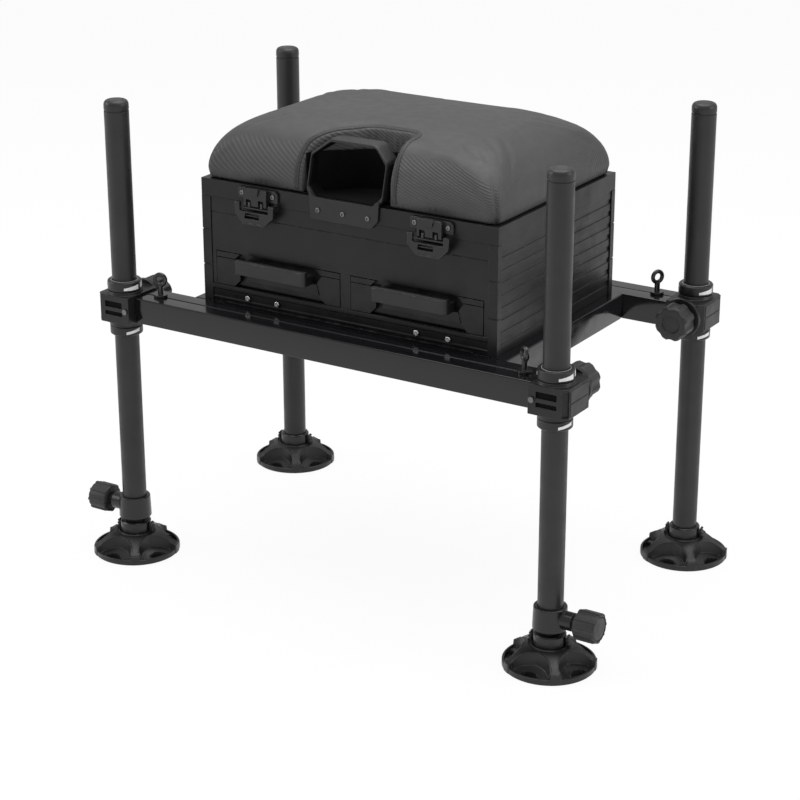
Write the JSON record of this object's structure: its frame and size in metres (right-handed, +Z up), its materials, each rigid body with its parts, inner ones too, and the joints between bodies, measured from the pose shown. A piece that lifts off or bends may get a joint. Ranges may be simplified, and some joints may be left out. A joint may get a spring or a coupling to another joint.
{
  "type": "fishing seat box",
  "caption": "Seat box with a padded lid, carry handle, latches and drawers, clamped on a rail frame with telescopic legs and tilting disc feet.",
  "frame": {"origin": "on the floor, midway between the four legs", "axes": "+Z up, +X to the right along the long rails, the drawers and the carry handle face -Y"},
  "size_m": [0.87, 0.557, 0.7],
  "materials": {
    "rail_black": "gloss black coating",
    "tube_black": "satin black coating",
    "clamp_black": "satin moulded",
    "ring_grey": "satin moulded",
    "knob_grey": "matt moulded",
    "screw_steel": "plated",
    "eye_black": "black coated",
    "box_black": "satin to gloss moulded",
    "lining_black": "matt moulded",
    "board_wood": "plain plywood",
    "latch_black": "satin black coating",
    "handle_black": "fine moulded grain",
    "leatherette": "black leatherette with a fine grain",
    "foot_black": "satin moulded",
    "cup_black": "gloss moulded",
    "collar_black": "gloss moulded"
  },
  "bodies": {
    "root": {"front_rail": "rail_black", "rear_rail": "rail_black", "side_rails": "rail_black", "leg_clamp_fl": "clamp_black", "leg_clamp_fr": "clamp_black", "leg_clamp_rr": "clamp_black", "leg_clamp_rl": "clamp_black", "clamp_rings": "ring_grey", "clamp_screws": "screw_steel", "strap_eyes": "eye_black", "corner_posts": "box_black", "front_upper_panel": "box_black", "front_lower_rail": "box_black", "rear_panel": "box_black", "side_panels": "box_black", "box_floor": "lining_black", "drawer_shelf": "lining_black", "drawer_guides": "box_black", "box_screws": "screw_steel", "latch_keepers": "latch_black", "body_hinges": "latch_black"},
    "lid": {"lid_frame": "box_black", "lid_board": "board_wood", "seat_cushion": "leatherette", "carry_handle": "handle_black", "lid_screws": "screw_steel", "latch_brackets": "latch_black", "lid_hinge_leaves": "latch_black"},
    "latch_l": {"latch_lever_l": "latch_black"},
    "drawer_l": {"drawer_tub_l": "lining_black", "drawer_front_l": "box_black"},
    "latch_r": {"latch_lever_r": "latch_black"},
    "drawer_r": {"drawer_tub_r": "lining_black", "drawer_front_r": "box_black"},
    "leg_fl": {"leg_tube_fl": "tube_black", "leg_cap_fl": "cup_black", "leg_collar_fl": "collar_black"},
    "knob_fl": {"clamp_knob_fl": "knob_grey"},
    "collar_screw_fl": {"collar_knob_fl": "knob_grey"},
    "draw_leg_fl": {"inner_leg_fl": "tube_black"},
    "ankle_fl": {"foot_cup_fl": "cup_black"},
    "foot_fl": {"foot_disc_fl": "foot_black"},
    "leg_fr": {"leg_tube_fr": "tube_black", "leg_cap_fr": "cup_black", "leg_collar_fr": "collar_black"},
    "knob_fr": {"clamp_knob_fr": "knob_grey"},
    "collar_screw_fr": {"collar_knob_fr": "knob_grey"},
    "draw_leg_fr": {"inner_leg_fr": "tube_black"},
    "ankle_fr": {"foot_cup_fr": "cup_black"},
    "foot_fr": {"foot_disc_fr": "foot_black"},
    "leg_rr": {"leg_tube_rr": "tube_black", "leg_cap_rr": "cup_black"},
    "knob_rr": {"clamp_knob_rr": "knob_grey"},
    "ankle_rr": {"foot_cup_rr": "cup_black"},
    "foot_rr": {"foot_disc_rr": "foot_black"},
    "leg_rl": {"leg_tube_rl": "tube_black", "leg_cap_rl": "cup_black"},
    "knob_rl": {"clamp_knob_rl": "knob_grey"},
    "ankle_rl": {"foot_cup_rl": "cup_black"},
    "foot_rl": {"foot_disc_rl": "foot_black"}
  },
  "joints": [
    {"name": "lid_hinge", "type": "hinge", "parent": "root", "child": "lid", "pos_m": [0, 0.1743, 0.5673], "axis": [-1, 0, 0], "range_deg": [0, 95]},
    {"name": "latch_l_turn", "type": "hinge", "parent": "lid", "child": "latch_l", "pos_m": [-0.1435, -0.1785, 0.562], "axis": [-1, 0, 0], "range_deg": [0, 120]},
    {"name": "drawer_l_slide", "type": "slide", "parent": "root", "child": "drawer_l", "axis": [0, -1, 0], "range_m": [0, 0.22]},
    {"name": "latch_r_turn", "type": "hinge", "parent": "lid", "child": "latch_r", "pos_m": [0.1435, -0.1785, 0.562], "axis": [-1, 0, 0], "range_deg": [0, 120]},
    {"name": "drawer_r_slide", "type": "slide", "parent": "root", "child": "drawer_r", "axis": [0, -1, 0], "range_m": [0, 0.22]},
    {"name": "leg_fl_slide", "type": "slide", "parent": "root", "child": "leg_fl", "axis": [0, 0, 1], "range_m": [-0.24, 0.25]},
    {"name": "knob_fl_turn", "type": "hinge", "parent": "root", "child": "knob_fl", "pos_m": [-0.359, -0.1465, 0.392], "axis": [0, 1, 0], "continuous": true},
    {"name": "collar_screw_fl_turn", "type": "hinge", "parent": "leg_fl", "child": "collar_screw_fl", "pos_m": [-0.419, -0.2125, 0.073], "axis": [-1, 0, 0], "continuous": true},
    {"name": "draw_leg_fl_slide", "type": "slide", "parent": "leg_fl", "child": "draw_leg_fl", "axis": [0, 0, -1], "range_m": [0, 0.15]},
    {"name": "ankle_fl_turn", "type": "hinge", "parent": "draw_leg_fl", "child": "ankle_fl", "pos_m": [-0.359, -0.2125, 0.03], "axis": [0, 0, 1], "continuous": true},
    {"name": "foot_fl_tilt", "type": "hinge", "parent": "ankle_fl", "child": "foot_fl", "pos_m": [-0.359, -0.2125, 0.02], "axis": [1, 0, 0], "range_deg": [-18, 18]},
    {"name": "leg_fr_slide", "type": "slide", "parent": "root", "child": "leg_fr", "axis": [0, 0, 1], "range_m": [-0.24, 0.25]},
    {"name": "knob_fr_turn", "type": "hinge", "parent": "root", "child": "knob_fr", "pos_m": [0.359, -0.1465, 0.392], "axis": [0, 1, 0], "continuous": true},
    {"name": "collar_screw_fr_turn", "type": "hinge", "parent": "leg_fr", "child": "collar_screw_fr", "pos_m": [0.419, -0.2125, 0.073], "axis": [1, 0, 0], "continuous": true},
    {"name": "draw_leg_fr_slide", "type": "slide", "parent": "leg_fr", "child": "draw_leg_fr", "axis": [0, 0, -1], "range_m": [0, 0.15]},
    {"name": "ankle_fr_turn", "type": "hinge", "parent": "draw_leg_fr", "child": "ankle_fr", "pos_m": [0.359, -0.2125, 0.03], "axis": [0, 0, 1], "continuous": true},
    {"name": "foot_fr_tilt", "type": "hinge", "parent": "ankle_fr", "child": "foot_fr", "pos_m": [0.359, -0.2125, 0.02], "axis": [1, 0, 0], "range_deg": [-18, 18]},
    {"name": "leg_rr_slide", "type": "slide", "parent": "root", "child": "leg_rr", "axis": [0, 0, 1], "range_m": [-0.24, 0.295]},
    {"name": "knob_rr_turn", "type": "hinge", "parent": "root", "child": "knob_rr", "pos_m": [0.359, 0.1465, 0.392], "axis": [0, -1, 0], "continuous": true},
    {"name": "ankle_rr_turn", "type": "hinge", "parent": "leg_rr", "child": "ankle_rr", "pos_m": [0.359, 0.2125, 0.03], "axis": [0, 0, 1], "continuous": true},
    {"name": "foot_rr_tilt", "type": "hinge", "parent": "ankle_rr", "child": "foot_rr", "pos_m": [0.359, 0.2125, 0.02], "axis": [1, 0, 0], "range_deg": [-18, 18]},
    {"name": "leg_rl_slide", "type": "slide", "parent": "root", "child": "leg_rl", "axis": [0, 0, 1], "range_m": [-0.24, 0.295]},
    {"name": "knob_rl_turn", "type": "hinge", "parent": "root", "child": "knob_rl", "pos_m": [-0.359, 0.1465, 0.392], "axis": [0, -1, 0], "continuous": true},
    {"name": "ankle_rl_turn", "type": "hinge", "parent": "leg_rl", "child": "ankle_rl", "pos_m": [-0.359, 0.2125, 0.03], "axis": [0, 0, 1], "continuous": true},
    {"name": "foot_rl_tilt", "type": "hinge", "parent": "ankle_rl", "child": "foot_rl", "pos_m": [-0.359, 0.2125, 0.02], "axis": [1, 0, 0], "range_deg": [-18, 18]}
  ]
}
